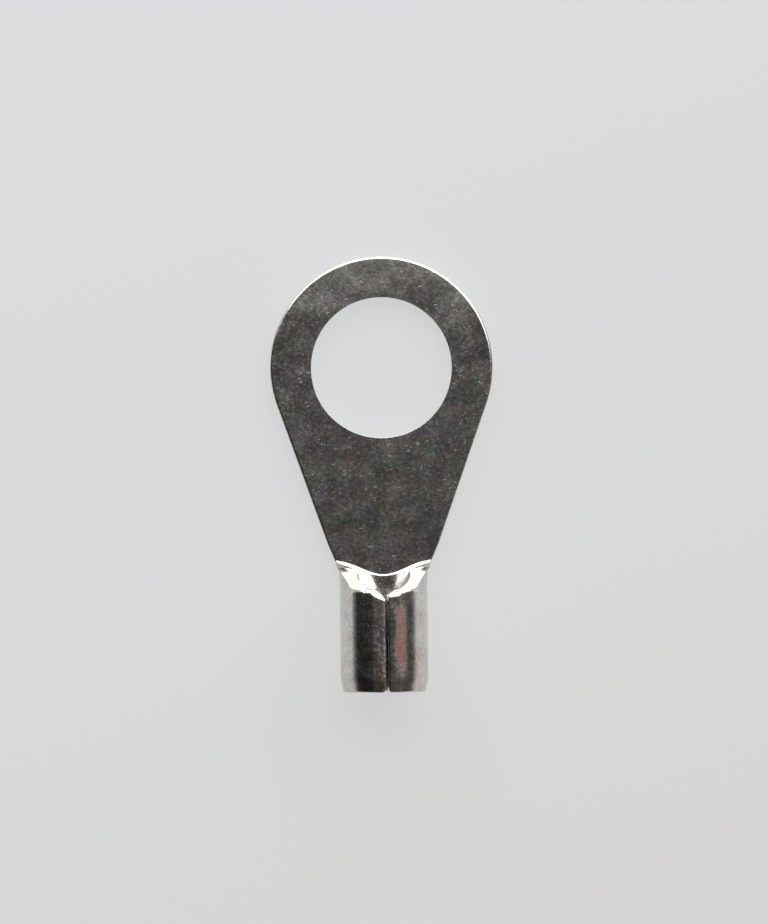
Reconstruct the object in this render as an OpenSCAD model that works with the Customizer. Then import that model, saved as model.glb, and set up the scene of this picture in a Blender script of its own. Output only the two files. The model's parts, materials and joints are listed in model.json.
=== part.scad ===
// Bare crimp ring terminal for an M8 stud, stamped from one piece of tinned copper
// sheet. The flat ring and tongue lie on the XY plane with their underside at z = 0,
// and the rear of the sheet is rolled up into a round wire barrel along -Y.
// The origin is the centre of the stud hole.

/* [Ring and tongue] */
// Diameter of the hole for the stud
stud_hole_d = 8.4; // [6.4:0.1:8.8]
// Outer diameter of the ring
ring_d = 13.3; // [12.8:0.1:14.5]
// Thickness of the ring and tongue, pressed a little thinner than the sheet
tongue_t = 0.95; // [0.75:0.05:1]
// Angle between each straight side of the tongue and the centre line
taper_angle = 19.5; // [18:0.5:21]
// Radius of the upper rim of the ring and tongue
rim_r = 0.15; // [0.05:0.01:0.25]

/* [Neck] */
// Distance from the barrel's front to where the tongue begins to narrow faster
knee_back = 2.75; // [2.4:0.05:3.2]
// Width of the tongue where its sides begin to curl up
neck_w = 5.8; // [5.4:0.05:6]
// Distance from the barrel's front to the middle of the crease that ends the flat
crease_back = 0.85; // [0.7:0.05:1]
// How much nearer to the ring the crease is at the sides than in the middle
crease_dip = 0.8; // [0.6:0.05:0.9]
// Angle round the barrel, from its underside, where the sheet's edge stands upright
upright_angle = 88; // [80:1:95]
// Angle round the barrel, from its underside, where the edge meets the barrel's front
shoulder_angle = 140; // [130:1:150]

/* [Barrel] */
// Outer diameter of the barrel
barrel_d = 5.22; // [5:0.02:5.6]
// Thickness of the sheet, which is the wall of the barrel
sheet_t = 1.05; // [1:0.05:1.2]
// Distance from the hole's centre to the barrel's front end
barrel_front = 13.2; // [12.8:0.05:14]
// Length of the barrel
barrel_len = 6.1; // [5:0.1:9]
// Radius of the front outer edge of the barrel
front_r = 0.2; // [0.1:0.05:0.3]
// How much smaller the radius is at the rear end, where the barrel closes in a little
rear_closing = 0.14; // [0.05:0.01:0.2]

/* [Seam] */
// How far the seam lies to the right of the barrel's top
seam_x = 0.2; // [0:0.05:0.3]
// Width of the flatter lips on either side of the seam, taken together
lips_w = 1.55; // [1.2:0.05:1.8]
// Depth of the groove between the lips, from the round of the barrel
groove_depth = 0.3; // [0.2:0.05:0.4]
// Width of the groove between the lips
groove_w = 0.3; // [0.2:0.05:0.4]
// Width of the notch in the front end of the seam
front_notch_w = 1.8; // [1.2:0.1:2.2]
// Depth of the notch in the front end of the seam
front_notch_depth = 0.62; // [0.4:0.02:0.8]
// Width of the notch in the rear end of the seam
rear_notch_w = 0.7; // [0.4:0.1:0.9]
// Depth of the notch in the rear end of the seam
rear_notch_depth = 0.3; // [0.2:0.02:0.4]

/* [Hidden] */
$fn = 96;

ring_r = ring_d / 2;
barrel_r = barrel_d / 2;
bore_r = barrel_r - sheet_t;
barrel_end = barrel_front + barrel_len;
knee_at = barrel_front - knee_back;
crease_at = barrel_front - crease_back;
neck_half = neck_w / 2;

// The curl starts this far in front of the crease, and takes this long to be complete
curl_lead = 0.1;
curl_run = 0.5;
// The sides of the sheet curl up in front of the ends of the crease, and stand upright behind
crease_sides = crease_at - crease_dip;
curl_start = crease_sides - curl_lead;
upright_at = crease_sides + 0.7 * curl_run;
// The crease is a small step up from the flat to the sheet's full thickness
crease_run = 0.08;

// The straight sides lie this far inside the lines that would just touch the ring
side_inset = 0.01;
// Straight steps in the round of a rim
rim_steps = 4;
// The last stretch of the barrel closes in, and its rear outer edge has this radius
closing_len = 0.9;
rear_r = 0.1;
// How much the lips of the seam fall towards the groove
lip_fall = 0.02;
// A cutter reaches this far past what it cuts
past = 1;

// The neck's skin is a row of bands across the sheet: so many in front of the crease
// and behind it, each with this many straight steps across and round each edge
front_bands = 3;
rear_bands = 15;
across_steps = 20;
edge_steps = 2;
// Radius of the sheet's edges along the neck
edge_r = 0.12;
// The neck runs this far into the tongue and the barrel, and is this much thinner there
root_run = 0.35;
root_inset = 0.012;

function clamp(t) = min(1, max(0, t));
function ease(t) = let (c = clamp(t)) c * c * (3 - 2 * c);
function mix(a, b, t) = a + (b - a) * t;

// Points of a round from angle a to angle b about a centre
function arc(centre, r, a, b, steps) =
    [for (i = [0 : steps]) let (t = mix(a, b, i / steps)) centre + r * [cos(t), sin(t)]];

// Distance of the crease from the hole's centre, at u across the sheet
function crease(u) = crease_at - crease_dip * (1 - cos(180 * clamp(abs(u) / neck_half))) / 2;

// Half width of the straight-sided tongue at distance q from the hole's centre
function tongue_half(q) = (ring_r - side_inset - q * sin(taper_angle)) / cos(taper_angle);

// Half width of the neck's sheet at distance q, measured along its lower face
function half_width(q) =
    let (
        narrowing = clamp((q - knee_at) / (curl_start - knee_at)),
        tapering = q < knee_at ? tongue_half(q) : mix(tongue_half(knee_at), neck_half, narrowing),
        upright = barrel_r * upright_angle * PI / 180,
        rising = clamp((q - crease_sides) / (upright_at - crease_sides)),
        climb = clamp((q - upright_at) / (barrel_front - upright_at)),
        turn = barrel_r * (shoulder_angle - upright_angle) * PI / 180
    )
    q < upright_at
        ? mix(tapering, upright, pow(rising, 3))
        : upright + turn * (0.77 * pow(climb, 0.7) + 0.23 * pow(climb, 8));

// Place of the point that lies u across the sheet and w above its lower face
function bent(u, w, q) =
    let (
        curl = ease((q - crease(u) + curl_lead) / curl_run) / barrel_r,
        a = u * curl * 180 / PI
    )
    curl < 0.0001
        ? [u, -q, w]
        : [(1 / curl - w) * sin(a), -q, 1 / curl - (1 / curl - w) * cos(a)];

// Distance of a band from the hole's centre at u across the sheet: t is -1 at the knee,
// 0 along the front of the crease, 1 along its rear and 2 at the barrel
function band_at(t, u) =
    t < 0 ? mix(crease(u), knee_at, -t)
    : t < 1 ? crease(u) + t * crease_run
    : mix(crease(u) + crease_run, barrel_front, t - 1);

// Lower half of the sheet's outline, from its left edge to its right edge. Each point
// has its share of the way across, and the sideways and downward parts of a rounded edge.
lower_outline = concat(
    [for (i = [0 : edge_steps]) let (a = 90 - 90 * i / edge_steps) [-1, -sin(a), cos(a)]],
    [for (i = [1 : across_steps - 1]) [mix(-1, 1, i / across_steps), 0, 1]],
    [for (i = [0 : edge_steps]) let (a = 90 * i / edge_steps) [1, sin(a), cos(a)]]
);

// One point of a band, on the sheet's lower or upper face
function band_point(p, upper, t, inset, shift) =
    let (
        half = half_width(band_at(t, p[0] * neck_half) + shift) - inset,
        u = p[0] * (half - edge_r) + p[1] * edge_r,
        low = inset + edge_r * (1 - p[2]),
        high = mix(tongue_t, sheet_t, clamp(t)) - low
    )
    bent(u, upper ? high : low, band_at(t, u) + shift);

// One band of the skin, right round the sheet, which lies inset below the sheet's faces
function band(t, inset, shift) = concat(
    [for (p = lower_outline) band_point(p, false, t, inset, shift)],
    [for (i = [len(lower_outline) - 1 : -1 : 0])
        band_point(lower_outline[i], true, t, inset, shift)]
);

// Section of the ring's rim, and of the tongue's sides: sharp below and rounded above
module rim_section(inner) {
    polygon(concat(
        [[inner, 0], [ring_r, 0]],
        arc([ring_r - rim_r, tongue_t - rim_r], rim_r, 0, 90, rim_steps),
        [[inner, tongue_t]]
    ));
}

// Disc that the ring is made from
module ring_blank() {
    rotate_extrude()
        rim_section(0);
}

// All of the plate that lies inside one straight side of the tongue
module inside_of_side() {
    rotate([90, 0, -taper_angle])
        linear_extrude(height = knee_at + ring_d)
            translate([-side_inset, 0])
                rim_section(-ring_d);
}

// Flat tongue between the ring and the knee
module tongue() {
    intersection() {
        inside_of_side();
        mirror([1, 0, 0])
            inside_of_side();
        translate([-ring_d, -knee_at, -past])
            cube([2 * ring_d, knee_at, tongue_t + 2 * past]);
    }
}

// Sheet between the knee and the barrel, curling up from flat to round
module neck() {
    skin = concat(
        [band(-1, root_inset, -root_run), band(-1, root_inset, 0)],
        [for (i = [1 : front_bands - 1]) band(i / front_bands - 1, 0, 0)],
        [band(0, 0, 0)],
        [for (i = [0 : rear_bands - 1]) band(1 + i / rear_bands, 0, 0)],
        [band(2, root_inset, 0), band(2, root_inset, root_run)]
    );
    across = len(lower_outline);
    around = 2 * across;
    last = (len(skin) - 1) * around;
    polyhedron(
        points = [for (row = skin) for (p = row) p],
        faces = concat(
            [for (j = [0 : across - 2])
                each [[j, j + 1, around - 2 - j], [j, around - 2 - j, around - 1 - j]]],
            [for (i = [0 : around : last - 1]) for (j = [0 : around - 1])
                let (a = i + j, b = i + (j + 1) % around)
                each [[a, a + around, b], [b, a + around, b + around]]],
            [for (j = [0 : across - 2])
                each [[last + j, last + around - 2 - j, last + j + 1],
                      [last + j, last + around - 1 - j, last + around - 2 - j]]]
        )
    );
}

// Round wire barrel, from a profile drawn as radius and distance from the hole's centre
module barrel_tube() {
    end_r = barrel_r - rear_closing;
    translate([0, 0, barrel_r])
        rotate([90, 0, 0])
            rotate_extrude()
                polygon(concat(
                    [[bore_r, barrel_end], [bore_r, barrel_front]],
                    arc([barrel_r - front_r, barrel_front + front_r], front_r, -90, 0, rim_steps),
                    [[barrel_r, barrel_end - closing_len]],
                    [[barrel_r - rear_closing / 3, barrel_end - closing_len / 2]],
                    arc([end_r - rear_r, barrel_end - rear_r], rear_r, 0, 90, rim_steps)
                ));
}

// Shallow valley between the lips of the seam, with the groove along its bottom
module seam_cut() {
    lip = lips_w / 2;
    groove = groove_w / 2;
    chord = barrel_r - sqrt(barrel_r * barrel_r - lip * lip);
    translate([seam_x, past - barrel_front, barrel_d])
        rotate([90, 0, 0])
            linear_extrude(height = barrel_len + 2 * past)
                polygon([
                    [-lip, past], [-lip, lip_fall - chord], [-groove, -chord],
                    [0, -groove_depth],
                    [groove, -chord], [lip, lip_fall - chord], [lip, past]
                ]);
}

// Cutter for a notch in one end of the seam: its mouth is at y = 0 and it points along +Y
module seam_notch(width, depth) {
    side = [[1 / 2, 0], [1 / 4, 0.35], [1 / 16, 1]];
    translate([seam_x, 0, barrel_r + bore_r / 2])
        linear_extrude(height = barrel_r)
            polygon(concat(
                [[width / 2, -past]],
                [for (p = side) [p[0] * width, p[1] * depth]],
                [for (i = [2 : -1 : 0]) [-side[i][0] * width, side[i][1] * depth]],
                [[-width / 2, -past]]
            ));
}

// Barrel with its seam
module barrel() {
    difference() {
        barrel_tube();
        seam_cut();
        translate([0, -barrel_front, 0])
            mirror([0, 1, 0])
                seam_notch(front_notch_w, front_notch_depth);
        translate([0, -barrel_end, 0])
            seam_notch(rear_notch_w, rear_notch_depth);
    }
}

// The whole terminal, which is one solid
module ring_terminal() {
    color([0.6, 0.6, 0.58])
        difference() {
            union() {
                ring_blank();
                tongue();
                neck();
                barrel();
            }
            translate([0, 0, -past])
                cylinder(d = stud_hole_d, h = tongue_t + 2 * past);
        }
}

ring_terminal();
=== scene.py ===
"""Ring terminal: a tinned copper sheet cut to shape, curled into a barrel at one end."""

import json
import math

import bpy
import numpy as np
from bpy.props import FloatProperty, FloatVectorProperty, PointerProperty
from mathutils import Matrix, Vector
from mathutils.geometry import delaunay_2d_cdt


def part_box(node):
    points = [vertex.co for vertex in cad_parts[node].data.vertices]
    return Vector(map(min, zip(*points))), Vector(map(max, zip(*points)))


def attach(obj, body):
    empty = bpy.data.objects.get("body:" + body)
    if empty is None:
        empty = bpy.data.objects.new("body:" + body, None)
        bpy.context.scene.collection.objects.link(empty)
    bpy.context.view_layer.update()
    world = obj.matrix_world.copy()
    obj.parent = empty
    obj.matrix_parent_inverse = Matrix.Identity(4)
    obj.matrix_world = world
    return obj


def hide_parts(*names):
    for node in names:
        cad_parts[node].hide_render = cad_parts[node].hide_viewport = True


bl_info = {
    "name": "Ring terminal",
    "version": (1, 0, 0),
    "blender": (4, 5, 0),
    "location": "3D View > Sidebar > Ring terminal",
    "description": "Makes a tinned ring terminal and the plain stage that it lies on",
    "category": "Object",
}

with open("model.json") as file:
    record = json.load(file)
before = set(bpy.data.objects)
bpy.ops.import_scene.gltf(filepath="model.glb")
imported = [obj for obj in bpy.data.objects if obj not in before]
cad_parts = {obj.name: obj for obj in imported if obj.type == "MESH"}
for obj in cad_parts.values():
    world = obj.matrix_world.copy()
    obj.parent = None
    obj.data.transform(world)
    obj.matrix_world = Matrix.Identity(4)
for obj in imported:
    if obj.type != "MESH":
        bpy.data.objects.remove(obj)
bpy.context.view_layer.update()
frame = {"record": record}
NODE = "ring_terminal"
MM = 0.001


def mount(name):
    """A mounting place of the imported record, by its name."""
    return next(m for m in frame["record"]["mounts"] if m["name"] == name)


LOW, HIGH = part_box(NODE)
STUD_HOLE = mount("stud_hole")["dims"]
WIRE_BARREL = mount("wire_barrel")
BARREL_RADIUS = WIRE_BARREL["pos_m"][2]
BARREL_LENGTH = WIRE_BARREL["dims"]["length_mm"] * MM


def length(name, description, default, **limits):
    """A size in metres that the user can change."""
    return FloatProperty(
        name=name,
        description=description,
        default=default,
        subtype="DISTANCE",
        unit="LENGTH",
        precision=5,
        **limits,
    )


def turn(name, description, degrees):
    """An angle that the user can change."""
    return FloatProperty(
        name=name,
        description=description,
        default=math.radians(degrees),
        subtype="ANGLE",
        unit="ROTATION",
    )


def colour(name, description, default):
    """A colour that the user can change."""
    return FloatVectorProperty(
        name=name,
        description=description,
        default=default,
        subtype="COLOR",
        size=3,
        min=0,
        max=1,
    )


def amount(name, description, default, **limits):
    """A plain number that the user can change."""
    return FloatProperty(name=name, description=description, default=default, **limits)


class SheetSizes(bpy.types.PropertyGroup):
    """Sizes of the flat sheet and of the barrel that it is rolled into"""

    ring_radius: length("Ring radius", "Outer radius of the ring", float(HIGH[0]))
    hole_radius: length("Hole radius", "Radius of the stud hole", STUD_HOLE["r_mm"] * MM)
    plate: length("Plate thickness", "Thickness of the flat ring", STUD_HOLE["length_mm"] * MM)
    sheet: length(
        "Sheet thickness",
        "Thickness of the curled sheet",
        BARREL_RADIUS - WIRE_BARREL["dims"]["r_mm"] * MM,
    )
    taper: turn("Taper", "Lean of each side of the tongue", 19.5)
    rim: length("Rim", "Radius of the upper rim of the ring and tongue", 0.15 * MM)
    burr: length("Burr side", "Radius of the lower rim, which the punch leaves sharper", 0.04 * MM)
    hole_rim: length("Hole rim", "Radius of the hole's upper rim", 0.015 * MM)
    knee: length("Knee", "Where the tongue begins to narrow faster", 10.45 * MM)
    neck_half: length("Half neck", "Half width of the sheet at the crease", 2.85 * MM)
    crease: length("Crease", "Distance from the hole to the middle of the crease", 12.35 * MM)
    crease_dip: length("Crease dip", "How far the crease bows towards the barrel", 0.8 * MM)
    crease_run: length("Crease run", "Length of the small step in thickness", 0.08 * MM)
    fold_delay: length("Fold delay", "How far behind the crease the sides start to fold", 0.03 * MM)
    fold_run: length("Fold run", "Length in which the sides fold up fully", 0.58 * MM)
    fold: length("Fold", "Half width of the flatter floor between the folded sides", 1.75 * MM)
    spread: length("Spread", "How much further out the neck's sides stand at first", 0.06 * MM)
    pinch: length("Pinch", "How much each side narrows before it widens", 0.1 * MM)
    flare_start: length(
        "Flare start", "How far behind the crease's ends the sheet widens", 0.28 * MM
    )
    flare_slope: amount("Flare slope", "How fast each side of the flat sheet widens", 2.6)
    flare_end: length("Flare end", "Extra half width where the flare meets the barrel", 0.6 * MM)
    barrel_radius: length("Barrel radius", "Outer radius of the barrel", BARREL_RADIUS)
    barrel_front: length(
        "Barrel front", "Distance from the hole to the barrel", -float(LOW[1]) - BARREL_LENGTH
    )
    barrel_end: length("Barrel end", "Distance from the hole to the rear end", -float(LOW[1]))
    front_rim: length("Front rim", "Radius of the barrel's front outer edge", 0.2 * MM)
    rear_rim: length("Rear rim", "Radius of the barrel's rear outer edge", 0.1 * MM)
    rear_closing: length("Rear closing", "How much the rear end closes in", 0.14 * MM)
    closing_length: length("Closing length", "Length of the stretch that closes in", 0.9 * MM)
    flare_rim: length("Flare rim", "Radius of the inner edge where the neck flares", 0.3 * MM)
    notch_left: length("Left notch", "Width of the front notch left of the seam", 0.95 * MM)
    notch_right: length("Right notch", "Width of the front notch right of the seam", 0.85 * MM)
    notch_depth: length("Notch depth", "Depth of the front notch left of the seam", 0.6 * MM)
    notch_rim: length("Notch rim", "Radius of the outer edge round the front notch", 0.38 * MM)
    rear_notch: length("Rear notch", "Depth of the notch at the seam's rear end", 0.42 * MM)
    groove: length("Groove", "Depth of the shallow groove round the barrel's front", 0.03 * MM)
    seam_side: length("Seam side", "How far the seam lies to the right of the top", 0.2 * MM)
    seam_gap: length("Seam gap", "Gap between the two edges of the seam", 0.1 * MM)
    seam_rim: length("Seam rim", "Radius of the outer edges of the seam", 0.15 * MM)
    lip: length("Lip", "Width of the flatter lip on each side of the seam", 0.85 * MM)
    lip_drop: length("Lip drop", "How far the lips sink at the seam", 0.13 * MM)


class TinFinish(bpy.types.PropertyGroup):
    """Colours and texture of the tin plate"""

    tin: colour("Tin", "Colour of the tin plate", (0.73, 0.705, 0.67))
    stain: colour("Stain", "Colour where copper shows through the tin", (0.34, 0.08, 0.06))
    roughness: amount("Roughness", "Roughness of the clean plate", 0.208, min=0, max=1)
    mottle: length("Mottle", "Size of the finest grain of the plate", 0.2 * MM)
    dent: length("Mottle depth", "Depth of the grain", 0.0012 * MM)
    tint: amount("Tint", "Strength of the faint coloured patches", 0.65, min=0, max=1)
    stained: amount("Stained", "How strongly the copper shows along the seam", 0.8, min=0, max=1)


class StageLook(bpy.types.PropertyGroup):
    """Floor, room, lamp and camera"""

    floor_far: colour("Far floor", "Floor colour beyond the ring", (0.7, 0.713, 0.728))
    # The near floor's colour is painted shade: the floor turns darker and warmer towards the barrel
    floor_near_shaded: colour("Near floor", "Floor colour below the barrel", (0.682, 0.676, 0.67))
    shadow: amount(
        "Shadow", "Share of the floor's brightness that shadows take", 0.12, min=0, max=1
    )
    gloom: colour("Gloom", "Light of the dark side of the room, on the left", (0.011, 0.011, 0.011))
    ceiling: colour("Ceiling", "Light of the dim ceiling", (0.058, 0.056, 0.053))
    side_glow: colour("Side glow", "Light of the paler wall on the right", (0.125, 0.121, 0.117))
    far_wall: colour("Far wall", "Light of the pale wall behind the window", (0.9, 0.9, 0.9))
    skirting: colour("Skirting", "Light of the room just above the floor", (0.22, 0.22, 0.21))
    window_power: amount("Window power", "Power of the large soft lamp, in watts", 2.3)
    camera_height: length("Camera height", "Height of the camera above the ring", 0.5)
    view_height: length("View height", "Height of what the camera takes in", 55.16 * MM)
    roll: turn("Roll", "How far the camera is turned about its own line of sight", 0.58)


class Wire:
    """One output of a node, with the sums that can be done on it."""

    def __init__(self, bench, socket):
        self.bench, self.socket = bench, socket

    def __add__(self, other):
        return self.bench.maths("ADD", self, other)

    def __sub__(self, other):
        return self.bench.maths("SUBTRACT", self, other)

    def __mul__(self, other):
        return self.bench.maths("MULTIPLY", self, other)

    def __truediv__(self, other):
        return self.bench.maths("DIVIDE", self, other)

    def __radd__(self, other):
        return self.bench.maths("ADD", other, self)

    def __rsub__(self, other):
        return self.bench.maths("SUBTRACT", other, self)

    def __rmul__(self, other):
        return self.bench.maths("MULTIPLY", other, self)

    def __neg__(self):
        return self.bench.maths("MULTIPLY", self, -1)

    def __abs__(self):
        return self.bench.maths("ABSOLUTE", self)


class Bench:
    """Where a node tree is put together."""

    def __init__(self, tree):
        self.tree = tree
        tree.nodes.clear()

    def add(self, kind, values=None):
        """Adds a node whose inputs hold values or are wired, and gives its first output."""
        node = self.tree.nodes.new(kind)
        for name, value in (values or {}).items():
            if isinstance(value, Wire):
                self.tree.links.new(value.socket, node.inputs[name])
            else:
                node.inputs[name].default_value = value
        return Wire(self, node.outputs[0]) if node.outputs else None

    def other(self, wire, output):
        """Another output of the node that a wire comes from."""
        return Wire(self, wire.socket.node.outputs[output])

    def split(self, vector):
        """The three parts of a vector."""
        first = self.add("ShaderNodeSeparateXYZ", {0: vector})
        return first, self.other(first, 1), self.other(first, 2)

    def maths(self, operation, *terms):
        """A Math node on one or two terms."""
        result = self.add("ShaderNodeMath", dict(enumerate(terms)))
        result.socket.node.operation = operation
        return result

    def clamp(self, value):
        """A value kept between 0 and 1."""
        return self.add("ShaderNodeClamp", {"Value": value})

    def ease(self, value):
        """A value kept between 0 and 1, with a soft start and end."""
        held = self.clamp(value)
        return held * held * (3 - 2 * held)

    def step(self, value, low, high):
        """0 where the value is at low, 1 at high, and soft between: low can be the greater."""
        return self.ease((value - low) / (high - low))

    def blend(self, share, first, second):
        """Mixes two colours by a share."""
        node = self.tree.nodes.new("ShaderNodeMix")
        node.data_type = "RGBA"
        node.clamp_factor = True
        # A Mix node has sockets for every kind of value: these are the share and the colours
        sockets = [node.inputs[0], node.inputs[6], node.inputs[7]]
        for socket, value in zip(sockets, (share, first, second)):
            if isinstance(value, Wire):
                self.tree.links.new(value.socket, socket)
            else:
                socket.default_value = (*value, 1)
        return Wire(self, node.outputs[2])


# ---------------------------------------------------------------- the flat sheet

# The neck's edge turns outwards over about this length, and widens sharply at its end
FLARE_BEND = 0.12 * MM
FLARE_END_POWER = 10

# Radius of the neck's lower edge, and of the inner edges at the seam and the barrel's ends
NECK_EDGE = 0.12 * MM
SEAM_EDGE = 0.04 * MM
BORE_EDGE = 0.05 * MM
# The neck's upper rim loses this much behind the knee, and each change takes this length
RIM_LOSS = 0.05 * MM
RIM_RUN = 0.5 * MM
# The barrel's front edge is rounder at the shoulder, and settles in a third of its way
SHOULDER_ROUND = 1.4
SETTLING = 3

# The notches' sides, as shares of their width and depth
NOTCH_CURVE = ((0.3, 0.1), (0.6, 0.4), (0.9, 0.8), (1.0, 1.0))
REAR_CURVE = ((0.9, 0.4), (0.6, 0.8), (0.0, 1.0))
# Depth of the front notch on the right, as a share of the left, and width of each side of
# the rear notch
RIGHT_DEPTH = 0.6
REAR_NOTCH_SIDE = 0.2 * MM

# Points along each stretch of the outline, and round a rim
RING_POINTS = 74
TONGUE_POINTS = 20
NECK_POINTS = 60
FRONT_POINTS = 9
SEAM_POINTS = 40
REAR_POINTS = 80
HOLE_POINTS = 200
RIM_POINTS = 6
# A last ring of points this far inside each rim keeps the face beside it flat
SUPPORT = 0.03 * MM

# Spacing of the points inside the flat part and how near its edge they may come
FLAT_STEP = 0.6 * MM
FLAT_MARGIN = 0.25 * MM
PAST_KNEE = 0.3 * MM
# The same for the curled part, whose last columns on each side, by the seam, are twice as close
COLUMN_STEP = 0.1 * MM
COLUMN_MARGIN = 0.045 * MM
SEAM_COLUMNS = 13
# Rows in front of the crease, as shares of its distance from the knee
APPROACH = np.linspace(-0.5, -0.15, 5)
# Rows about the crease, counted from it towards the barrel, and then so many rows in what
# is left of the neck, in the straight barrel and where it closes in
CREASE_ROWS = np.array([-12, -9, *range(-7, 12, 2), 14, 17, 21, 25, 30, 36]) * 0.01 * MM
NECK_ROWS = 14
BARREL_ROWS = 30
CLOSING_ROWS = 14

# The triangulation keeps what is inside the loops, and takes points this near, in
# millimetres, as one
INSIDE = 1
SAME_POINT = 1e-6
# Keeps an edge of no length from being divided by
NO_LENGTH = 1e-18


def mix(first, second, share):
    """A value between two others."""
    return first + (second - first) * share


def ease(share):
    """A share kept between 0 and 1, with a soft start and end."""
    held = np.clip(share, 0, 1)
    return held * held * (3 - 2 * held)


def crease_line(s, across):
    """Distance of the crease from the hole at a place across the sheet."""
    share = np.clip(np.abs(across) / s.neck_half, 0, 1)
    return s.crease - s.crease_dip * (1 - np.cos(math.pi * share)) / 2


def crease_ends(s):
    """Distance of the crease's ends from the hole."""
    return s.crease - s.crease_dip


def tongue_half(s, along):
    """Half width of the straight-sided tongue."""
    return (s.ring_radius - along * math.sin(s.taper)) / math.cos(s.taper)


def half_width(s, along):
    """Half width of the sheet between the knee and the barrel, where it flares out."""
    ends = crease_ends(s)
    behind = along - ends
    narrowing = min(1, (along - s.knee) / (ends - s.knee))
    flared = behind - s.flare_start
    flared = s.flare_slope * (flared + math.hypot(flared, FLARE_BEND)) / 2
    share = max(0, behind / (s.barrel_front - ends))
    pinched = s.pinch * min(1, max(0, behind) / s.flare_start)
    widened = flared + s.flare_end * share**FLARE_END_POWER - pinched
    return mix(tongue_half(s, s.knee), s.neck_half, narrowing) + widened


def ring_side(s):
    """One side of the ring and the tongue, from the ring's far end to the knee."""
    points = []
    for angle in np.linspace(math.pi / 2, -s.taper, RING_POINTS)[:-1]:
        place = (s.ring_radius * math.cos(angle), -s.ring_radius * math.sin(angle))
        points.append((*place, s.burr, s.rim))
    touch = s.ring_radius * math.sin(s.taper)
    for along in np.linspace(touch, s.knee, TONGUE_POINTS):
        points.append((tongue_half(s, along), along, s.burr, s.rim))
    return points


def neck_side(s):
    """One side of the neck, from the knee to the barrel's front."""
    ends = crease_ends(s)
    points = []
    for along in np.linspace(s.knee, s.barrel_front, NECK_POINTS)[1:]:
        low = mix(s.burr, NECK_EDGE, min(1, (along - s.knee) / (ends - s.knee)))
        thin = s.rim - RIM_LOSS * min(1, (along - s.knee) / RIM_RUN)
        high = mix(thin, s.flare_rim, ease((along - ends) / RIM_RUN))
        points.append((half_width(s, along), along, low, high))
    return points


def barrel_side(s, side, shoulder):
    """One side of the barrel's sheet, from its shoulder to the middle of the rear end."""
    offset = s.barrel_radius * math.asin(s.seam_side / s.barrel_radius)
    seam = math.pi * s.barrel_radius - side * offset - s.seam_gap / 2
    if side > 0:
        notch, depth = s.notch_right, RIGHT_DEPTH * s.notch_depth
    else:
        notch, depth = s.notch_left, s.notch_depth
    corner = seam - notch
    points = []
    for across in np.linspace(shoulder, corner, FRONT_POINTS)[1:]:
        settled = min(1, SETTLING * ((across - shoulder) / (corner - shoulder)))
        low = s.front_rim * mix(SHOULDER_ROUND, 1, settled)
        high = mix(s.flare_rim, BORE_EDGE, settled)
        points.append((across, s.barrel_front, low, high))
    for out, down in NOTCH_CURVE:
        place = (corner + notch * out, s.barrel_front + depth * down)
        points.append((*place, mix(s.notch_rim, s.seam_rim, out**3), SEAM_EDGE))
    ends = (s.barrel_front + depth, s.barrel_end - s.rear_notch)
    for along in np.linspace(*ends, SEAM_POINTS)[1:]:
        points.append((seam, along, s.seam_rim, SEAM_EDGE))
    for out, down in REAR_CURVE:
        place = (seam - REAR_NOTCH_SIDE * (1 - out), s.barrel_end - s.rear_notch * (1 - down))
        points.append((*place, s.rear_rim, SEAM_EDGE))
    for across in np.linspace(seam - REAR_NOTCH_SIDE, 0, REAR_POINTS)[1:]:
        points.append((across, s.barrel_end, s.rear_rim, BORE_EDGE))
    return points


def outline_side(s, side):
    """One side of the sheet's outline, from the ring down to the middle of the rear end.

    Each point is (across, along, radius of the lower edge, radius of the upper edge).
    """
    points = ring_side(s) + neck_side(s)
    points += barrel_side(s, side, points[-1][0])
    return [(side * across, *others) for across, *others in points]


def sheet_outline(s):
    """The whole outline, anticlockwise from above, as arrays of places and edge radii."""
    left = outline_side(s, -1)
    # Both sides have the two end points, which are wanted once
    right = outline_side(s, 1)[1:-1]
    table = np.array(left + right[::-1])
    return np.stack([table[:, 0], -table[:, 1]], 1), table[:, 2], table[:, 3]


def hole_outline(s):
    """The stud hole, clockwise from above."""
    turns = -np.linspace(0, 2 * math.pi, HOLE_POINTS, endpoint=False)
    places = s.hole_radius * np.stack([np.cos(turns), np.sin(turns)], 1)
    return places, np.full(HOLE_POINTS, s.burr), np.full(HOLE_POINTS, s.hole_rim)


def inward(places):
    """Direction into the sheet at each point, long enough to keep an offset line parallel."""
    edges = np.roll(places, -1, 0) - places
    edges /= np.linalg.norm(edges, axis=1, keepdims=True)
    normals = np.stack([-edges[:, 1], edges[:, 0]], 1)
    before = np.roll(normals, 1, 0)
    total = normals + before
    return total / (1 + (normals * before).sum(1, keepdims=True))


def upper_height(s, places):
    """Height of the sheet's upper face, which steps up at the crease."""
    behind = -places[:, 1] - crease_line(s, places[:, 0])
    return mix(s.plate, s.sheet, ease(behind / s.crease_run))


def clear_of(points, loops, margin):
    """Which points lie inside the loops, and at least a margin from them."""
    inside = np.zeros(len(points), bool)
    near = np.zeros(len(points), bool)
    for loop in loops:
        for a, b in zip(loop, np.roll(loop, -1, 0)):
            crosses = (a[1] > points[:, 1]) != (b[1] > points[:, 1])
            if a[1] != b[1]:
                at = a[0] + (points[:, 1] - a[1]) * (b[0] - a[0]) / (b[1] - a[1])
                inside ^= crosses & (points[:, 0] < at)
            edge = b - a
            share = np.clip(((points - a) @ edge) / max(edge @ edge, NO_LENGTH), 0, 1)
            gap = points - a - share[:, None] * edge
            near |= (gap * gap).sum(1) < margin * margin
    return inside & ~near


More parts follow.
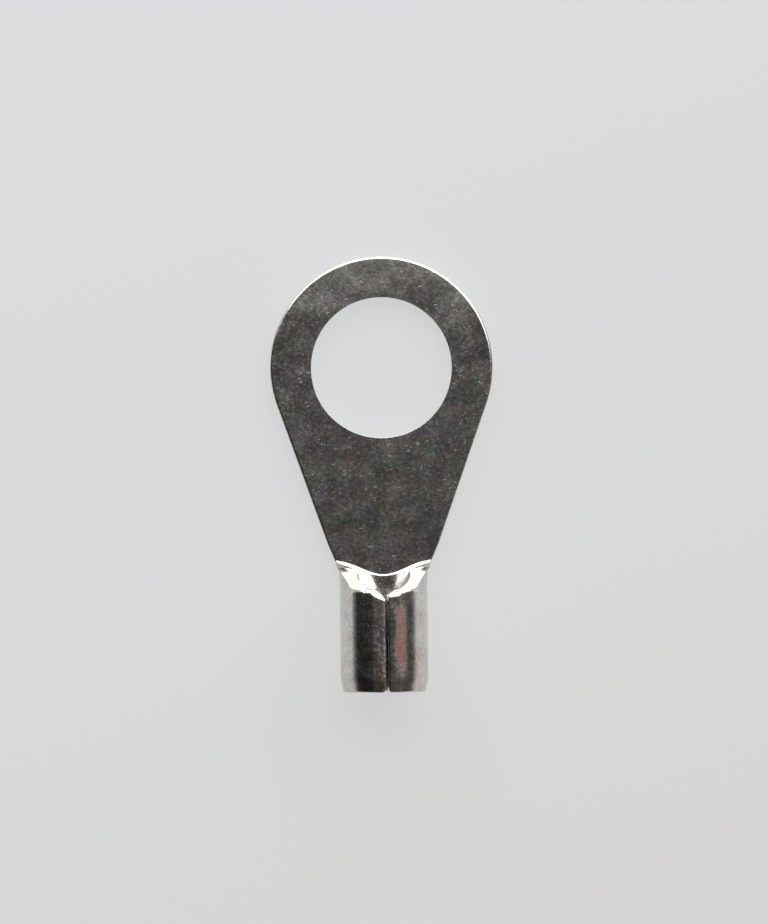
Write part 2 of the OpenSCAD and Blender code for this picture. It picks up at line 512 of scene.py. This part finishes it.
def flat_points(s):
    """Points spread over the ring and the tongue."""
    reach = int(s.ring_radius / FLAT_STEP)
    last = int((s.knee + PAST_KNEE) / FLAT_STEP)
    across = np.arange(-reach, reach + 1) * FLAT_STEP
    along = np.arange(-last, reach + 1) * FLAT_STEP
    return np.array([(x, y) for x in across for y in along])


def curled_points(s):
    """Rows of points across the neck and the barrel, closest together at the crease."""
    reach = int((math.pi * s.barrel_radius + s.seam_side) / COLUMN_STEP)
    even = np.arange(-reach, reach + 1) * COLUMN_STEP
    between = (np.arange(reach + 1 - SEAM_COLUMNS, reach + 1) + 0.5) * COLUMN_STEP
    columns = np.concatenate([even, between, -between])
    crease = crease_line(s, columns)
    rows = [crease + share * (crease - s.knee) for share in APPROACH]
    rows += [crease + behind for behind in CREASE_ROWS]
    start = rows[-1]
    rows += [mix(start, s.barrel_front, share) for share in np.linspace(0, 1, NECK_ROWS)[1:]]
    closing = s.barrel_end - s.closing_length
    straight = [
        *np.linspace(s.barrel_front, closing, BARREL_ROWS)[1:],
        *np.linspace(closing, s.barrel_end, CLOSING_ROWS)[1:],
    ]
    rows += [np.full(len(columns), along) for along in straight]
    return np.concatenate([np.column_stack([columns, -row]) for row in rows])


def cap(loops, s):
    """Triangles that fill a face of the sheet between its rims, and the points in it."""
    flat, curled = flat_points(s), curled_points(s)
    flat = flat[clear_of(flat, loops, FLAT_MARGIN)]
    curled = curled[clear_of(curled, loops, COLUMN_MARGIN)]
    edges = []
    count = 0
    for loop in loops:
        edges += [(count + i, count + (i + 1) % len(loop)) for i in range(len(loop))]
        count += len(loop)
    every = np.concatenate([*loops, flat, curled])
    scaled = [Vector(p) for p in every / MM]
    made = delaunay_2d_cdt(scaled, edges, [], INSIDE, SAME_POINT)
    if any(len(origin) == 0 for origin in made[3]):
        raise RuntimeError("the outline of the sheet crosses itself")
    source = [origin[0] for origin in made[3]]
    faces = [[source[i] for i in face] for face in made[2]]
    middles = np.array([every[face].mean(0) for face in faces])
    hole = loops[1]
    keep = (middles**2).sum(1) > (hole**2).sum(1).min()
    return every, [face for face, kept in zip(faces, keep) if kept]


def rim_rings(s, places, low, high):
    """Rings of points round an edge of the sheet, from its lower face to its upper one."""
    into = inward(places)
    top = upper_height(s, places)
    rings = [(places + into * (low + SUPPORT)[:, None], np.zeros(len(low)))]
    for angle in np.linspace(0, math.pi / 2, RIM_POINTS):
        shift = low * (1 - math.sin(angle))
        rings.append((places + into * shift[:, None], low * (1 - math.cos(angle))))
    for angle in np.linspace(math.pi / 2, 0, RIM_POINTS):
        shift = high * (1 - math.sin(angle))
        rings.append((places + into * shift[:, None], top - high * (1 - math.cos(angle))))
    edge = places + into * (high + SUPPORT)[:, None]
    rings.append((edge, upper_height(s, edge)))
    return rings


def band(first, size):
    """Faces between two rings of points that follow each other in the list."""
    turned = [(i, (i + 1) % size) for i in range(size)]
    return [(first + i, first + j, first + size + j, first + size + i) for i, j in turned]


def make_blank(s):
    """The flat sheet as a closed mesh, with rounded rims, before it is rolled."""
    corners, faces = [], []
    lower, upper = [], []
    count = 0
    for places, low, high in (sheet_outline(s), hole_outline(s)):
        rings = rim_rings(s, places, low, high)
        size = len(places)
        lower.append((rings[0][0], count))
        for flat, height in rings:
            corners.append(np.column_stack([flat, height]))
        for number in range(len(rings) - 1):
            faces += band(count + number * size, size)
        count += len(rings) * size
        upper.append((rings[-1][0], count - size))
    for loops, faces_up in ((lower, False), (upper, True)):
        every, triangles = cap([loop for loop, _ in loops], s)
        numbers = np.concatenate([first + np.arange(len(loop)) for loop, first in loops])
        extra = every[len(numbers) :]
        height = upper_height(s, extra) if faces_up else np.zeros(len(extra))
        corners.append(np.column_stack([extra, height]))
        numbers = np.concatenate([numbers, count + np.arange(len(extra))])
        count += len(extra)
        for triangle in triangles:
            a, b, c = every[triangle]
            left = (b[0] - a[0]) * (c[1] - a[1]) > (b[1] - a[1]) * (c[0] - a[0])
            order = triangle if left == faces_up else triangle[::-1]
            faces.append(tuple(int(numbers[i]) for i in order))
    mesh = bpy.data.meshes.new("flat_sheet")
    mesh.from_pydata(np.concatenate(corners).tolist(), [], faces)
    mesh.validate()
    mesh.shade_smooth()
    return mesh


# ---------------------------------------------------------------- rolling the sheet

ROLL_SIZES = {
    "Barrel radius": "barrel_radius",
    "Sheet thickness": "sheet",
    "Half neck": "neck_half",
    "Crease": "crease",
    "Crease dip": "crease_dip",
    "Fold delay": "fold_delay",
    "Fold run": "fold_run",
    "Fold": "fold",
    "Spread": "spread",
    "Barrel end": "barrel_end",
    "Closing length": "closing_length",
    "Rear closing": "rear_closing",
    "Seam side": "seam_side",
    "Lip": "lip",
    "Lip drop": "lip_drop",
    "Barrel front": "barrel_front",
    "Groove": "groove",
}

# The neck's spread is gone this many times sooner than the floor is round
SPREAD_FADE = 1.6
# The groove lies this far behind the barrel's front, and reaches this far each way
GROOVE_PLACE = 0.02 * MM
GROOVE_SIDE = 0.16 * MM
# No arc is worked out with less than this as half its turn, in radians
LEAST_HALF = 0.0001


def arc(bench, run, from_turn, curl):
    """Steps sideways and up along an arc, and the turn at its end."""
    half = bench.maths("MAXIMUM", run * curl / 2, LEAST_HALF)
    chord = run * bench.maths("SINE", half) / half
    middle = from_turn + half
    return (
        chord * bench.maths("COSINE", middle),
        chord * bench.maths("SINE", middle),
        from_turn + run * curl,
    )


def folded_section(bench, size, across, along):
    """Where the lower face comes to lie: sideways, up, its turn, and how far it is folded."""
    share = bench.clamp(abs(across) / size["Half neck"])
    bow = (1 - bench.maths("COSINE", share * math.pi)) / 2
    crease = size["Crease"] - size["Crease dip"] * bow
    radius = size["Barrel radius"]

    # The floor of the neck rounds slowly, while its sides fold up soon behind the crease
    rounding = (along - crease) / (size["Barrel front"] - crease)
    floor_curl = bench.clamp(rounding) / radius
    behind = bench.maths("MAXIMUM", along - crease - size["Fold delay"], 0)
    folded = bench.ease(behind / size["Fold run"])
    spread = size["Spread"] * (1 - bench.ease(rounding * SPREAD_FADE))

    # Fully folded, the sides stand upright where they reach the width of barrel and spread
    full_out, _, full_turn = arc(bench, size["Fold"], 0, floor_curl)
    side_curl = (1 - bench.maths("SINE", full_turn)) / (radius + spread - full_out)
    floor_run = bench.maths("MINIMUM", abs(across), size["Fold"])
    floor_out, floor_up, floor_turn = arc(bench, floor_run, 0, floor_curl)
    side_run = abs(across) - floor_run
    side_out, side_up, turned = arc(bench, side_run, floor_turn, side_curl * folded)
    return floor_out + side_out, floor_up + side_up, turned, folded


def sinking(bench, size, across, along, height, way):
    """How far the barrel sinks: at its rear end, at the lips of the seam and in the groove."""
    closing_length = size["Closing length"]
    closing = bench.ease((along - size["Barrel end"] + closing_length) / closing_length)
    outer = bench.clamp(1 - height / size["Sheet thickness"])
    seam = size["Barrel radius"] * math.pi - size["Seam side"] * way
    lip = bench.clamp(1 - (seam - abs(across)) / size["Lip"])
    from_groove = abs(along - size["Barrel front"] - GROOVE_PLACE) / GROOVE_SIDE
    groove = outer * size["Groove"] * bench.ease(1 - from_groove)
    return closing * size["Rear closing"] + outer * lip * size["Lip drop"] + groove


def rolling_tree():
    """Geometry Nodes that curl a flat sheet into a barrel behind a bowed crease."""
    tree = bpy.data.node_groups.new("Roll the sheet", "GeometryNodeTree")
    tree.interface.new_socket("Sheet", in_out="INPUT", socket_type="NodeSocketGeometry")
    for name in ROLL_SIZES:
        tree.interface.new_socket(name, in_out="INPUT", socket_type="NodeSocketFloat")
    tree.interface.new_socket("Finish", in_out="INPUT", socket_type="NodeSocketMaterial")
    tree.interface.new_socket("Sheet", in_out="OUTPUT", socket_type="NodeSocketGeometry")
    bench = Bench(tree)
    sheet = bench.add("NodeGroupInput")
    size = {name: bench.other(sheet, name) for name in ROLL_SIZES}
    across, back, height = bench.split(bench.add("GeometryNodeInputPosition"))
    along = -back

    out, lift, turned, folded = folded_section(bench, size, across, along)
    way = bench.maths("SIGN", across)
    sine = bench.maths("SINE", turned) * way
    cosine = bench.maths("COSINE", turned)
    side = out * way - height * sine
    up = lift + height * cosine
    sink = sinking(bench, size, across, along, height, way) * folded
    side = side - sine * sink
    up = up + cosine * sink

    moved = bench.add("ShaderNodeCombineXYZ", {0: side, 1: -along, 2: up})
    rolled = bench.add("GeometryNodeSetPosition", {"Geometry": sheet, "Position": moved})
    real = bench.add("GeometryNodeRealizeInstances", {0: rolled})
    finish = bench.other(sheet, "Finish")
    done = bench.add("GeometryNodeSetMaterial", {"Geometry": real, "Material": finish})
    bench.add("NodeGroupOutput", {0: done})
    return tree


def roll(flat, s, finish):
    """Rolls the flat sheet and returns the result as a plain mesh object."""
    blank = bpy.data.objects.new("flat_sheet", flat)
    bpy.context.collection.objects.link(blank)
    modifier = blank.modifiers.new("Roll", "NODES")
    modifier.node_group = rolling_tree()
    for item in modifier.node_group.interface.items_tree:
        if item.in_out == "INPUT" and item.name in ROLL_SIZES:
            modifier[item.identifier] = getattr(s, ROLL_SIZES[item.name])
        elif item.in_out == "INPUT" and item.name == "Finish":
            modifier[item.identifier] = finish
    rolled = blank.evaluated_get(bpy.context.evaluated_depsgraph_get())
    mesh = bpy.data.meshes.new_from_object(rolled)
    bpy.data.objects.remove(blank)
    mesh.name = "terminal"
    piece = bpy.data.objects.new("terminal", mesh)
    bpy.context.collection.objects.link(piece)
    return piece


# ---------------------------------------------------------------- the tin plate

# In this section a pair of numbers is where something begins to show and where it shows
# fully. All noise runs about a middle of 0.5.

# Size and seed of the noises: soft clouds, and where the plate is worn
CLOUD_SIZE, CLOUD_SEED = 1.1 * MM, 3.0
WEAR_SIZE, WEAR_SEED = 2.2 * MM, 37.0

# Faint coloured patches: size and seed of their noise, the level from which they show, and
# their colour
PATCHES = (
    (1.0 * MM, 17.0, 0.48, (0.72, 0.54, 0.5)),
    (1.2 * MM, 11.0, 0.5, (0.54, 0.68, 0.57)),
    (1.3 * MM, 29.0, 0.52, (0.62, 0.57, 0.71)),
)
PATCH_FADE = 0.14
# Share of the patches that the side walls keep
WALL_TINT = 0.25

# Colours of the dull and the bright spots, and of the painted light that lightens the ring's far
# end
DULL_TIN = (0.3, 0.3, 0.28)
BRIGHT_TIN = (0.9, 0.9, 0.88)
FAR_PAINTED_LIGHT = (1.0, 0.98, 0.89)
# How strong the far end's painted light is, how ragged its edge, and where it shows
FAR_LIGHT_SHARE = 0.7
FAR_LIGHT_RAGGED = 6 * MM
FAR_LIGHT_RANGE = (2.2 * MM, 5.6 * MM)

# Width of the scratches, and each kind: length in widths, turn, seed and level
SCRATCH_WIDTH = 0.06 * MM
SCRATCHES = ((6, 0.1, 5.0, 0.7), (5, 1.2, 8.0, 0.73), (4, 2.3, 14.0, 0.72))
SCRATCH_FADE = 0.08
# Two kinds of specks: spacing, size, seed and share of the places that have one
LARGE_SPECKS = (0.4 * MM, 0.05 * MM, 0.4, 0.1)
SMALL_SPECKS = (0.2 * MM, 0.03 * MM, 0.9, 0.14)
SPECK_FADE = 0.05
# Softness of a speck's edge, as a share of its size
SPECK_EDGE = 0.6
# How much wear adds to the scratches and to the specks
WORN_SCRATCHES = 0.12
WORN_SPECKS = 0.4

# Heights of the flat face, from below and from above, and of the barrel's crest
FACE_LOW = (0.7 * MM, 0.9 * MM)
FACE_HIGH = (1.4 * MM, 1.1 * MM)
CREST = (3.6 * MM, 3.9 * MM)
TINTED_CREST = (3.6 * MM, 4.3 * MM)

# The rubbed left lip: its middle, its reach each way, and where along the barrel it begins
RUBBED_MIDDLE = -0.25 * MM
RUBBED_REACH = (0.45 * MM, 0.25 * MM)
RUBBED_START = (14 * MM, 17 * MM)

# The copper stripe on the right lip: its left, right, front and rear edges
STRIPE_LEFT = (0.58 * MM, 0.8 * MM)
STRIPE_RIGHT = (1.4 * MM, 1.15 * MM)
STRIPE_FRONT = (13.8 * MM, 14.6 * MM)
STRIPE_REAR = (18.4 * MM, 17.3 * MM)
# How far clouds and grain move its edges
RAGGED_CLOUD = 0.35 * MM
RAGGED_GRAIN = 0.25 * MM
# The fainter copper on the left lip
LEFT_MIDDLE = -0.28 * MM
LEFT_REACH = (0.3 * MM, 0.14 * MM)
LEFT_START = (15.5 * MM, 17.5 * MM)
LEFT_SHARE = 0.6


class Texture:
    """Patterns of the plate, laid out in the terminal's own space."""

    def __init__(self, bench, place, mottle):
        self.bench, self.place = bench, place
        self.grain = self.noise(mottle, 2.5)
        self.cloud = self.noise(CLOUD_SIZE, 3.0, seed=CLOUD_SEED)
        self.wear = self.noise(WEAR_SIZE, 2.0, seed=WEAR_SEED)

    def noise(self, size, detail, seed=0.0, stretch=1, turned=0.0):
        """Soft noise, which can be drawn out one way."""
        spot = self.bench.add(
            "ShaderNodeMapping",
            {
                "Vector": self.place,
                "Location": (seed, seed, seed),
                "Rotation": (0, 0, turned),
                "Scale": (1 / (size * stretch), 1 / size, 1 / size),
            },
        )
        values = {"Vector": spot, "Scale": 1.0, "Detail": detail}
        return self.bench.add("ShaderNodeTexNoise", values)

    def scratches(self, stretch, turned, seed, level):
        """Short scratches one way, with more of them where the plate is worn."""
        lines = self.noise(SCRATCH_WIDTH, 1.0, seed, stretch, turned)
        worn = lines + WORN_SCRATCHES * (self.wear - 0.5)
        return self.bench.step(worn, level, level + SCRATCH_FADE)

    def specks(self, spacing, size, seed, share):
        """Small specks in a share of the cells of a pattern, with more where it is worn."""
        bench = self.bench
        values = {"Vector": self.place, "Location": (seed, seed, seed)}
        spot = bench.add("ShaderNodeMapping", values)
        cell = bench.add("ShaderNodeTexVoronoi", {"Vector": spot, "Scale": 1 / spacing})
        luck = bench.add("ShaderNodeSeparateColor", {"Color": bench.other(cell, "Color")})
        worn = luck + WORN_SPECKS * (self.wear - 0.5)
        chosen = bench.step(worn, 1 - share, 1 - share + SPECK_FADE)
        reach = size / spacing * (0.5 + bench.other(luck, 1))
        return chosen * bench.ease((reach - cell) / (SPECK_EDGE * size / spacing))

    def patched(self, tin, tint):
        """The tin's colour with its faint patches."""
        for size, seed, level, patch in PATCHES:
            spots = self.bench.step(self.noise(size, 2.5, seed), level, level + PATCH_FADE)
            tin = self.bench.blend(tint * spots, tin, patch)
        return tin

    def marks(self, x, y, z):
        """Scratches, specks and the rubbed left lip."""
        bench = self.bench
        first, second, third = (self.scratches(*kind) for kind in SCRATCHES)
        scratch = first + second + third
        speck = self.specks(*LARGE_SPECKS) + 0.5 * self.specks(*SMALL_SPECKS)
        lip = bench.step(abs(x - RUBBED_MIDDLE), *RUBBED_REACH) * bench.step(-y, *RUBBED_START)
        lip = lip * bench.step(z, *CREST)
        rubbed = lip * bench.step(self.grain, 0.42, 0.66)
        return bench.clamp(0.7 * scratch + speck + 0.22 * rubbed)

    def copper(self, x, y, z):
        """Where copper shows: the stripe along the right lip, and that with the left lip."""
        bench = self.bench
        ragged = RAGGED_CLOUD * (self.cloud - 0.5) + RAGGED_GRAIN * (self.grain - 0.5)
        stripe = bench.step(x + ragged, *STRIPE_LEFT) * bench.step(x + ragged, *STRIPE_RIGHT)
        ends = bench.step(-y + 2 * ragged, *STRIPE_FRONT) * bench.step(-y, *STRIPE_REAR)
        stripe = stripe * ends * (0.8 + 0.2 * bench.step(self.cloud, 0.4, 0.6))
        left = bench.step(abs(x - LEFT_MIDDLE + ragged), *LEFT_REACH)
        left = left * bench.step(-y, *LEFT_START) * LEFT_SHARE
        crest = bench.step(z, *CREST)
        return stripe * crest, bench.clamp(stripe + left) * crest


def tin_plate(look):
    """Bright tin over copper: finely mottled, with specks, short scratches, a stain and painted
    light on the ring's far end.
    """
    material = bpy.data.materials.new("tin_plate")
    material.use_nodes = True
    bench = Bench(material.node_tree)
    place = bench.other(bench.add("ShaderNodeTexCoord"), "Object")
    x, y, z = bench.split(place)
    texture = Texture(bench, place, look.mottle)
    grain, cloud, wear = texture.grain, texture.cloud, texture.wear
    mark = texture.marks(x, y, z)

    # The coloured patches are plainest on the flat face and along the barrel's crest
    face = bench.step(z, *FACE_LOW) * bench.step(z, *FACE_HIGH)
    plain = bench.clamp(face + bench.step(z, *TINTED_CREST))
    tint = look.tint * (WALL_TINT + (1 - WALL_TINT) * plain)
    base = texture.patched(look.tin, tint)
    dull = bench.clamp(0.2 * bench.step(grain, 0.6, 0.4) + 0.25 * bench.step(wear, 0.6, 0.35))
    base = bench.blend(dull, base, DULL_TIN)
    bright = 0.25 * bench.step(grain, 0.5, 0.7) + 0.2 * bench.step(cloud, 0.45, 0.75)
    base = bench.blend(bench.clamp(bright), base, BRIGHT_TIN)
    # Painted light: the ring's far end is made lighter, as if the light fell on it more brightly,
    # and a little rougher
    far = FAR_LIGHT_SHARE * bench.step(y + FAR_LIGHT_RAGGED * (wear - 0.5), *FAR_LIGHT_RANGE)
    base = bench.blend(far, base, FAR_PAINTED_LIGHT)
    stripe, copper = texture.copper(x, y, z)
    base = bench.blend(look.stained * copper, base, look.stain)

    rough = (
        look.roughness
        + 0.04 * far
        + 0.15 * (cloud - 0.5)
        + 0.15 * (grain - 0.5)
        + 0.28 * mark
        + 0.06 * copper
    )
    relief = 0.8 * grain + 1.5 * cloud + 2.0 * wear + 1.2 * mark
    values = {"Strength": 1.0, "Distance": look.dent, "Height": relief}
    bump = bench.add("ShaderNodeBump", values)
    shader = bench.add(
        "ShaderNodeBsdfPrincipled",
        {"Base Color": base, "Metallic": 1 - 0.5 * stripe, "Roughness": rough, "Normal": bump},
    )
    bench.add("ShaderNodeOutputMaterial", {"Surface": shader})
    return material


# ---------------------------------------------------------------- the stage

# Half width of the floor, and how far it lies below the terminal
FLOOR_HALF = 3.0
FLOOR_DROP = 0.01 * MM
# The floor's painted shade, a warmer and darker colour, has this share beside the middle of the
# terminal, and grows from none to all in these lengths, to the right and towards the barrel
SHADE_SHARE = 0.45
SHADE_MIDDLE = -0.005
SHADE_RIGHT = 0.12
SHADE_NEAR = 0.07

# Where the parts of the room begin to show and show fully, as shares of a direction
CEILING_FROM = (-0.75, 0.0)
GLOW_MIDDLE = 0.55
GLOW_REACH = (0.5, 0.0)
# How much a direction's far part counts beside its right part, for the ceiling and the glow
CEILING_LEAN = 0.3
GLOW_LEAN = 0.4
WALL_FROM = (0.2, 0.45)
WALL_TOP = (0.8, 0.55)
SKIRTING_TOP = (0.25, 0.0)

WINDOW_SIZE = (0.66, 0.4)
WINDOW_PLACE = (0.05, 0.22, 0.18)
WINDOW_AIM = (0, -0.006, 0.001)

CAMERA_PLACE = (0.1 * MM, -5.64 * MM)
CAMERA_CLIP = (0.01, 20)
# Side of the camera's sensor, in millimetres as its lens is
SENSOR = 36


def shown_colour(bench, lit, shown, share):
    """A lit surface that the camera and the metal mostly see at its plain colour."""
    camera_ray = bench.add("ShaderNodeLightPath")
    seen = bench.clamp(camera_ray + bench.other(camera_ray, "Is Glossy Ray"))
    return bench.add("ShaderNodeMixShader", {0: seen * share, 1: lit, 2: shown})


def floor_paint(look):
    """Plain pale paint, with painted shade that makes it a little warmer and darker on the near
    side.
    """
    material = bpy.data.materials.new("pale_floor")
    material.use_nodes = True
    bench = Bench(material.node_tree)
    place = bench.other(bench.add("ShaderNodeTexCoord"), "Object")
    x, y, _ = bench.split(place)
    # Painted shade: the floor turns warmer and darker to the right and towards the barrel
    near = bench.clamp(SHADE_SHARE + x / SHADE_RIGHT - (y - SHADE_MIDDLE) / SHADE_NEAR)
    paint = bench.blend(near, look.floor_far, look.floor_near_shaded)
    lit = bench.add("ShaderNodeBsdfDiffuse", {"Color": paint})
    shown = bench.add("ShaderNodeEmission", {"Color": paint})
    both = shown_colour(bench, lit, shown, 1 - look.shadow)
    bench.add("ShaderNodeOutputMaterial", {"Surface": both})
    return material


def make_floor(look):
    """A wide flat floor just below the terminal."""
    mesh = bpy.data.meshes.new("floor")
    ways = ((-1, -1), (1, -1), (1, 1), (-1, 1))
    corners = [(FLOOR_HALF * x, FLOOR_HALF * y, -FLOOR_DROP) for x, y in ways]
    mesh.from_pydata(corners, [], [(0, 1, 2, 3)])
    mesh.materials.append(floor_paint(look))
    floor = bpy.data.objects.new("floor", mesh)
    bpy.context.collection.objects.link(floor)
    return floor


def dim_room(look):
    """A dim room for the metal to mirror, darker on the left and pale beyond the ring."""
    world = bpy.data.worlds.new("dim_room")
    world.use_nodes = True
    bench = Bench(world.node_tree)
    camera_ray = bench.add("ShaderNodeLightPath")
    way = bench.other(bench.add("ShaderNodeTexCoord"), "Generated")
    right, far, up = bench.split(way)
    ceiling = bench.step(right + CEILING_LEAN * far, *CEILING_FROM)
    room = bench.blend(ceiling, look.gloom, look.ceiling)
    glow = bench.step(abs(right - GLOW_MIDDLE) + GLOW_LEAN * abs(far), *GLOW_REACH)
    room = bench.blend(glow, room, look.side_glow)
    wall = bench.step(far, *WALL_FROM) * bench.step(up, *WALL_TOP)
    room = bench.blend(wall, room, look.far_wall)
    room = bench.blend(bench.step(up, *SKIRTING_TOP), room, look.skirting)
    # The camera itself sees the floor's colour wherever the floor ends
    room = bench.blend(camera_ray, room, look.floor_far)
    sky = bench.add("ShaderNodeBackground", {"Color": room, "Strength": 1.0})
    bench.add("ShaderNodeOutputWorld", {"Surface": sky})
    return world


def lamp(name, power, size, place, aim):
    """A rectangular soft lamp that faces a point and stays out of sight."""
    light = bpy.data.lights.new(name, "AREA")
    light.shape = "RECTANGLE"
    light.size, light.size_y = size
    light.energy = power
    holder = bpy.data.objects.new(name, light)
    holder.location = place
    holder.rotation_euler = (Vector(aim) - Vector(place)).to_track_quat("-Z", "Y").to_euler()
    holder.visible_camera = False
    bpy.context.collection.objects.link(holder)


def hang_camera(look, plate):
    """A camera that looks straight down from its height above the ring."""
    camera = bpy.data.cameras.new("camera")
    camera.sensor_width = SENSOR
    camera.lens = SENSOR * look.camera_height / look.view_height
    camera.clip_start, camera.clip_end = CAMERA_CLIP
    holder = bpy.data.objects.new("camera", camera)
    holder.location = (*CAMERA_PLACE, plate + look.camera_height)
    holder.rotation_euler = (0, 0, -look.roll)
    bpy.context.collection.objects.link(holder)
    return holder


class TERMINAL_OT_sheet(bpy.types.Operator):
    """Cuts the flat sheet, rolls it into the terminal and plates it with tin"""

    bl_idname = "terminal.sheet"
    bl_label = "Make the terminal"

    def execute(self, context):
        sizes = context.scene.terminal_sizes
        finish = tin_plate(context.scene.terminal_finish)
        piece = roll(make_blank(sizes), sizes, finish)
        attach(piece, "root")
        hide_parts(NODE)
        return {"FINISHED"}


class TERMINAL_OT_stage(bpy.types.Operator):
    """Makes the floor, the dim room, the window lamp and the camera"""

    bl_idname = "terminal.stage"
    bl_label = "Make the stage"

    def execute(self, context):
        scene = context.scene
        look = scene.terminal_stage
        scene.view_settings.view_transform = "Standard"
        floor = make_floor(look)
        scene.world = dim_room(look)
        lamp("window", look.window_power, WINDOW_SIZE, WINDOW_PLACE, WINDOW_AIM)
        scene.camera = hang_camera(look, scene.terminal_sizes.plate)
        return {"FINISHED"}


class TERMINAL_PT_panel(bpy.types.Panel):
    """Sizes, finish and stage of the ring terminal"""

    bl_label = "Ring terminal"
    bl_idname = "TERMINAL_PT_panel"
    bl_space_type = "VIEW_3D"
    bl_region_type = "UI"
    bl_category = "Ring terminal"

    def draw(self, context):
        scene = context.scene
        for group, operator in (
            (scene.terminal_sizes, "terminal.sheet"),
            (scene.terminal_finish, None),
            (scene.terminal_stage, "terminal.stage"),
        ):
            box = self.layout.box()
            for name in group.bl_rna.properties.keys():
                if name not in ("rna_type", "name"):
                    box.prop(group, name)
            if operator:
                box.operator(operator)


CLASSES = (
    SheetSizes,
    TinFinish,
    StageLook,
    TERMINAL_OT_sheet,
    TERMINAL_OT_stage,
    TERMINAL_PT_panel,
)


def register():
    for one in CLASSES:
        bpy.utils.register_class(one)
    bpy.types.Scene.terminal_sizes = PointerProperty(type=SheetSizes)
    bpy.types.Scene.terminal_finish = PointerProperty(type=TinFinish)
    bpy.types.Scene.terminal_stage = PointerProperty(type=StageLook)


def unregister():
    del bpy.types.Scene.terminal_sizes
    del bpy.types.Scene.terminal_finish
    del bpy.types.Scene.terminal_stage
    for one in reversed(CLASSES):
        bpy.utils.unregister_class(one)


def main():
    """Makes everything: the terminal and its stage."""
    register()
    bpy.ops.terminal.sheet()
    bpy.ops.terminal.stage()


if __name__ == "__main__":
    main()
